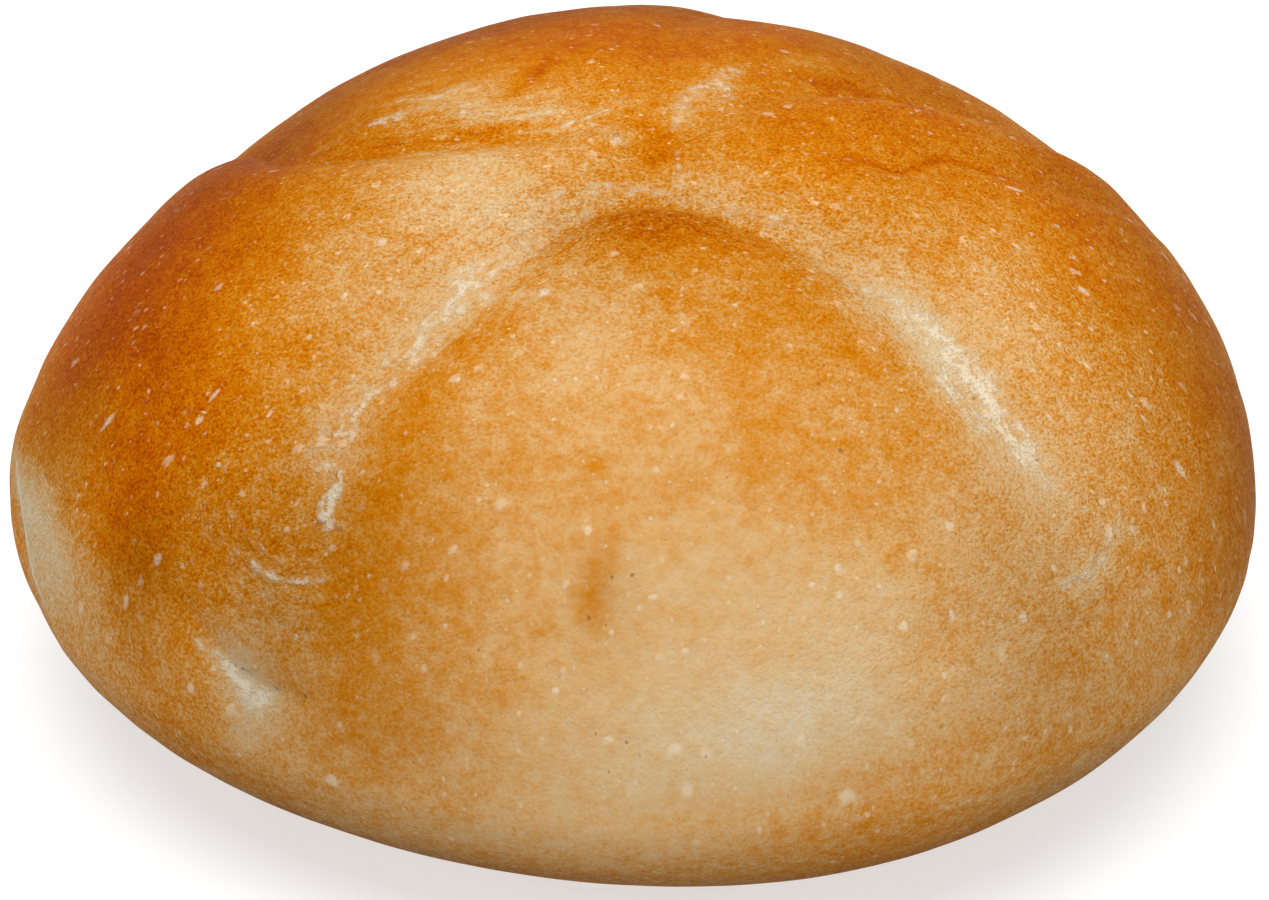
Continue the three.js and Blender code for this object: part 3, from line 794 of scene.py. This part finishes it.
def make_crust():
    directions, triangles = geodesic(MESH_FREQUENCY)
    turn, fall, places = crust_places(directions)
    creases = {name: Crease(**facts) for name, facts in CREASES.items()}
    places = snapped(places, creases)
    found = {name: crease.nearest(places) for name, crease in creases.items()}
    flow, wrinkling = wrinkle_fields(places, creases, found)
    height, paleness, marked = mark_fields(places)

    relief = crease_relief(creases, found) + spot_relief(places) + wrinkle_relief(flow, wrinkling) + height
    relief -= INSET
    for seed, (size, rise) in enumerate(LUMPS, LUMP_SEED):
        relief += rise * noise_at(places, size, seed)
    start, end = UNDERSIDE_FADE
    fade = 1 - np.clip((fall - start) / (end - start), 0, 1)
    normal, _, _ = dome_frame(turn, fall)
    points = places + normal * (relief * fade)[:, None] + np.array(HUB_SHIFT)

    mesh = bpy.data.meshes.new("crust")
    mesh.from_pydata((points * MM).tolist(), [], triangles.tolist())
    mesh.shade_smooth()
    # Darkening of the underside's rim, partly toast and partly painted shade, with patches of painted shade
    # and painted light.
    toast_and_painted_shading = np.interp(fall, *zip(*TOAST_AND_PAINTED_SHADE_BY_FALL))
    attributes = {
        "browning": crust_browning(places, fall, marked),
        "paleness": paleness,
        "flow": flow,
        "wrinkling": wrinkling,
        "grain": patch_field(places, GRAIN, GRAIN_PATCHES),
        "toast_and_painted_shading": patch_field(places, toast_and_painted_shading, PAINTED_SHADE_AND_LIGHT_PATCHES),
        "blister": blister_field(places),
    }
    for name, values in attributes.items():
        set_attribute(mesh, name, values)
    mesh.materials.append(crust_material())
    crust = bpy.data.objects.new("crust", mesh)
    bpy.context.scene.collection.objects.link(crust)
    return crust


# ---- The crust's material --------------------------------------------------------------------------------

class Nodes:
    """Short ways to add and link a material's nodes."""

    def __init__(self, material):
        self.tree = material.node_tree

    def add(self, kind, inputs, **settings):
        node = self.tree.nodes.new("ShaderNode" + kind)
        for name, value in settings.items():
            setattr(node, name, value)
        for name, value in inputs.items():
            if isinstance(value, bpy.types.NodeSocket):
                self.tree.links.new(value, node.inputs[name])
            else:
                node.inputs[name].default_value = value
        return node

    def math(self, operation, *values):
        return self.add("Math", dict(enumerate(values)), operation=operation).outputs[0]

    def attribute(self, name, output="Fac"):
        return self.add("Attribute", {}, attribute_name=name).outputs[output]

    def noise(self, vector, size, roughness):
        """Noise from 0 to 1, as a number and as a colour, with the given size in the vector's units."""
        facts = {"Vector": vector, "Scale": 1 / size, "Detail": NOISE_DETAIL, "Roughness": roughness}
        return self.add("TexNoise", facts).outputs

    def centred(self, value):
        """Noise about 0."""
        return self.math("SUBTRACT", value, 0.5)

    def step(self, value, low, high):
        """0 below low, 1 above high and smooth between them; the other way round where low is above high."""
        facts = {"Value": value, "From Min": low, "From Max": high}
        return self.add("MapRange", facts, interpolation_type="SMOOTHSTEP").outputs["Result"]

    def mix(self, share, first, second):
        node = self.tree.nodes.new("ShaderNodeMix")
        node.data_type = "RGBA"
        self.tree.links.new(share, node.inputs["Factor"])
        colours = [socket for socket in node.inputs if socket.type == "RGBA"]
        for socket, value in zip(colours, (first, second)):
            if isinstance(value, bpy.types.NodeSocket):
                self.tree.links.new(value, socket)
            else:
                socket.default_value = (*value, 1)
        return next(socket for socket in node.outputs if socket.type == "RGBA")

    def sum(self, *values):
        total = values[0]
        for value in values[1:]:
            total = self.math("ADD", total, value)
        return total

    def times(self, first, second):
        return self.math("MULTIPLY", first, second)

    def plus_share(self, value, base, share):
        """The base and a share of the value."""
        return self.math("MULTIPLY_ADD", value, share, base)

    def split(self, vector):
        return self.add("SeparateXYZ", {"Vector": vector}).outputs


def skin_textures(nodes):
    """Noises that the crust's colours and its relief share. Streaks and furrows run along the skin's flow."""
    where = nodes.add("TexCoord", {}).outputs["Object"]
    place = nodes.add("VectorMath", {0: where, "Scale": 1 / MM}, operation="SCALE").outputs["Vector"]
    grain = nodes.attribute("grain")
    fine = nodes.times(nodes.centred(nodes.noise(place, *GRAIN_NOISE)["Fac"]), grain)
    mottling = nodes.noise(place, *MOTTLE_NOISE)
    warp = nodes.split(mottling["Color"])
    facts = {0: mottling["Color"], 1: (SPOT_BEND, SPOT_BEND, SPOT_BEND), 2: place}
    bent_place = nodes.add("VectorMath", facts, operation="MULTIPLY_ADD").outputs["Vector"]

    flow = nodes.split(nodes.attribute("flow", "Vector"))
    along = nodes.times(flow["X"], STREAKS[0])
    across = nodes.sum(nodes.times(flow["Y"], STREAKS[1]), warp["Y"])
    stretched = nodes.add("CombineXYZ", {"X": along, "Y": across, "Z": flow["Z"]}).outputs["Vector"]
    streak = nodes.centred(nodes.noise(stretched, *STREAK_NOISE)["Fac"])
    return SimpleNamespace(
        bent_place=bent_place,
        grain=grain,
        fine=fine,
        mottle=nodes.centred(mottling["Fac"]),
        other_mottle=nodes.centred(warp["Z"]),
        streak=streak,
        furrow=nodes.times(streak, nodes.attribute("wrinkling")),
    )


def browned_skin(nodes, skin):
    """The crust's colour by how browned it is, with painted shade in the wrinkles' furrows and painted light
    on their ridges.
    """
    browning = nodes.sum(
        nodes.attribute("browning"),
        nodes.times(skin.mottle, nodes.plus_share(skin.grain, *MOTTLE_BROWNING)),
        nodes.times(skin.fine, GRAIN_BROWNING),
        nodes.times(skin.furrow, FURROW_PAINTED_SHADING),
    )
    ramp = nodes.add("ValToRGB", {"Fac": browning})
    stops = ramp.color_ramp.elements
    stops.remove(stops[1])
    for index, (amount, colour) in enumerate(CRUST_RAMP):
        stop = stops[0] if index == 0 else stops.new(amount)
        stop.position = amount
        stop.color = (*colour, 1)
    return ramp.outputs["Color"]


def pale_flakes(nodes, skin):
    """Where pale stretched skin lies, broken into flakes."""
    paleness = nodes.attribute("paleness")
    crackle = nodes.sum(
        nodes.times(skin.streak, STREAK_CRACKLE),
        nodes.times(skin.other_mottle, MOTTLE_CRACKLE),
        nodes.times(skin.fine, GRAIN_CRACKLE),
    )
    flakes = nodes.step(nodes.sum(paleness, crackle), *FLAKE_EDGE)
    flakes = nodes.times(flakes, nodes.step(paleness, *PALE_EDGE))
    return flakes, nodes.times(flakes, nodes.plus_share(paleness, *FLAKE_COVER))


def add_single_blisters(nodes, skin, colour):
    """The colour with the single blisters on it, and their height."""
    offset = nodes.add("VectorMath", {0: nodes.attribute("blister", "Vector")}, operation="LENGTH")
    ratio = nodes.sum(offset.outputs["Value"], nodes.times(skin.mottle, BLISTER_UNEVENNESS))
    blister = nodes.times(nodes.step(ratio, *BLISTER_EDGE), BLISTER_STRENGTH)
    height = nodes.times(nodes.step(ratio, *BLISTER_SHOULDER), BLISTER_HEIGHT)
    return nodes.mix(blister, colour, BLISTER_COLOUR), height


def add_spots(nodes, skin, colour, layer):
    """The colour with one layer of small blisters and pinpricks on it, and their height."""
    spacing, smallest, largest, blistering, pricking, seed = layer
    facts = {0: skin.bent_place, 1: SPOT_STRETCH, 2: (seed, seed, seed)}
    moved = nodes.add("VectorMath", facts, operation="MULTIPLY_ADD").outputs["Vector"]
    cells = nodes.add("TexVoronoi", {"Vector": moved, "Scale": 1 / spacing}, feature="F1").outputs
    draw = nodes.split(cells["Color"])
    draw_squared = nodes.math("POWER", draw["X"], 2.0)
    size = nodes.plus_share(draw_squared, smallest / spacing, (largest - smallest) / spacing)
    ratio = nodes.math("DIVIDE", cells["Distance"], size)
    ratio = nodes.sum(ratio, nodes.times(skin.fine, SPOT_UNEVENNESS), skin.mottle)
    blister = nodes.times(nodes.step(ratio, *SPOT_EDGE), nodes.step(draw["Y"], *BLISTER_DRAW))
    prick = nodes.times(nodes.step(ratio, *PINPRICK_EDGE), nodes.step(draw["Y"], *PINPRICK_DRAW))
    colour = nodes.mix(nodes.times(blister, blistering), colour, BLISTER_COLOUR)
    colour = nodes.mix(nodes.times(prick, pricking), colour, PINPRICK_COLOUR)
    height = nodes.sum(
        nodes.times(blister, SPOT_HEIGHT * largest),
        nodes.times(prick, -PINPRICK_DEPTH * largest),
    )
    return colour, height


def crust_material():
    material = bpy.data.materials.new("crust")
    material.use_nodes = True
    nodes = Nodes(material)
    skin = skin_textures(nodes)
    flakes, cover = pale_flakes(nodes, skin)
    colour = nodes.mix(cover, browned_skin(nodes, skin), PALE_COLOUR)
    colour, height = add_single_blisters(nodes, skin, colour)
    heights = [
        nodes.times(skin.fine, GRAIN_HEIGHT),
        nodes.times(skin.mottle, MOTTLE_HEIGHT),
        nodes.times(skin.furrow, FURROW_HEIGHT),
        nodes.times(flakes, FLAKE_HEIGHT),
        height,
    ]
    for layer in SPOT_LAYERS:
        colour, height = add_spots(nodes, skin, colour, layer)
        heights.append(height)
    # The toast attribute darkens the colour: a browner baked rim, painted shade on the flanks, and painted
    # light where it is below 0.
    lightness = nodes.sum(
        1.0, nodes.times(nodes.attribute("toast_and_painted_shading"), -1.0), nodes.times(skin.fine, GRAIN_LIGHTNESS))
    colour_with_painted_shading = nodes.add("VectorMath", {0: colour, "Scale": lightness}, operation="SCALE")
    bump = nodes.add("Bump", {"Height": nodes.sum(*heights), "Distance": MM, "Strength": 1.0})

    shader = material.node_tree.nodes["Principled BSDF"]
    link = material.node_tree.links.new
    link(colour_with_painted_shading.outputs["Vector"], shader.inputs["Base Color"])
    link(bump.outputs["Normal"], shader.inputs["Normal"])
    link(nodes.plus_share(skin.fine, *ROUGHNESS), shader.inputs["Roughness"])
    shader.inputs["Specular IOR Level"].default_value = GLOSS
    shader.inputs["Specular Tint"].default_value = GLOSS_TINT
    return material


# ---- Floor, light and camera -----------------------------------------------------------------------------

def make_floor():
    half = FLOOR_HALF * MM
    corners = [(-half, -half, 0), (half, -half, 0), (half, half, 0), (-half, half, 0)]
    mesh = bpy.data.meshes.new("floor")
    mesh.from_pydata(corners, [], [(0, 1, 2, 3)])
    floor = bpy.data.objects.new("floor", mesh)
    bpy.context.scene.collection.objects.link(floor)
    material = bpy.data.materials.new("floor")
    material.use_nodes = True
    shader = material.node_tree.nodes["Principled BSDF"]
    shader.inputs["Base Color"].default_value = FLOOR_COLOUR
    shader.inputs["Emission Color"].default_value = WHITE
    shader.inputs["Emission Strength"].default_value = FLOOR_GLOW
    shader.inputs["Roughness"].default_value = FLOOR_ROUGHNESS
    shader.inputs["Specular IOR Level"].default_value = FLOOR_GLOSS
    mesh.materials.append(material)


def make_light():
    world = bpy.data.worlds.new("world")
    world.use_nodes = True
    background = world.node_tree.nodes["Background"]
    background.inputs["Color"].default_value = WHITE
    background.inputs["Strength"].default_value = SKY_STRENGTH
    bpy.context.scene.world = world

    light = bpy.data.lights.new("key", "AREA")
    light.shape = "DISK"
    light.size = KEY_WIDTH * MM
    light.energy = KEY_POWER
    key = bpy.data.objects.new("key", light)
    key.location = Vector(KEY_PLACE) * MM
    key.rotation_euler = (-key.location).to_track_quat("-Z", "Y").to_euler()
    bpy.context.scene.collection.objects.link(key)


def make_camera():
    elevation = math.radians(CAMERA_ELEVATION)
    back = Vector((0, -math.cos(elevation), math.sin(elevation)))
    place = Vector((HUB_SHIFT[0], HUB_SHIFT[1], CAMERA_ORBIT_HEIGHT)) + back * CAMERA_DISTANCE
    aim = Vector(CAMERA_AIM)
    data = bpy.data.cameras.new("camera")
    data.lens = CAMERA_LENS
    data.sensor_width = CAMERA_SENSOR
    data.clip_start, data.clip_end = (distance * MM for distance in CAMERA_CLIP)
    camera = bpy.data.objects.new("camera", data)
    camera.location = place * MM
    camera.rotation_euler = (aim - place).to_track_quat("-Z", "Y").to_euler()
    bpy.context.scene.collection.objects.link(camera)
    bpy.context.scene.camera = camera


make_camera()
make_light()
make_floor()
crust = make_crust()
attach(crust, "root")
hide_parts("bread_roll")
bpy.context.scene.view_settings.view_transform = "Standard"
